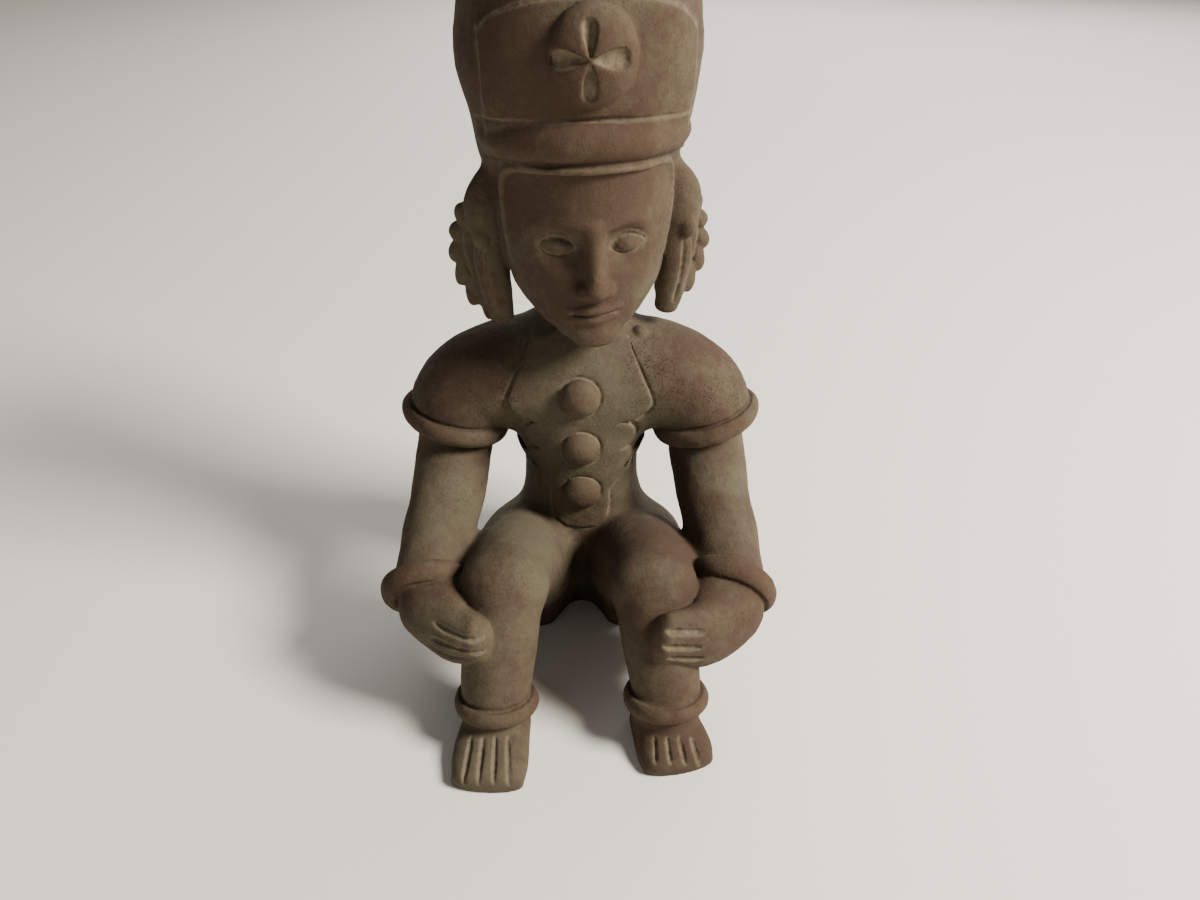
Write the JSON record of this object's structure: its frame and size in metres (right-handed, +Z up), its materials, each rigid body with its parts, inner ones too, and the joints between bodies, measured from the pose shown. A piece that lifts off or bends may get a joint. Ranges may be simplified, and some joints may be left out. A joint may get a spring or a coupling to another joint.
{
  "type": "seated clay figure",
  "caption": "Seated human figure of unglazed fired clay with a tall cap, rosette, feathered ear pieces, short vest and rolled clay bands, hands resting on its knees.",
  "frame": {"origin": "middle of the footprint's bounding box, on the ground", "axes": "+Z up through the head, -Y the front that the face and toes point to, +X the viewer's right"},
  "size_m": [0.1506, 0.1662, 0.26],
  "materials": {
    "clay": "matt unglazed, rubbed with pale dust in the carved lines"
  },
  "bodies": {
    "root": {"clay_figure": "clay"}
  },
  "joints": []
}
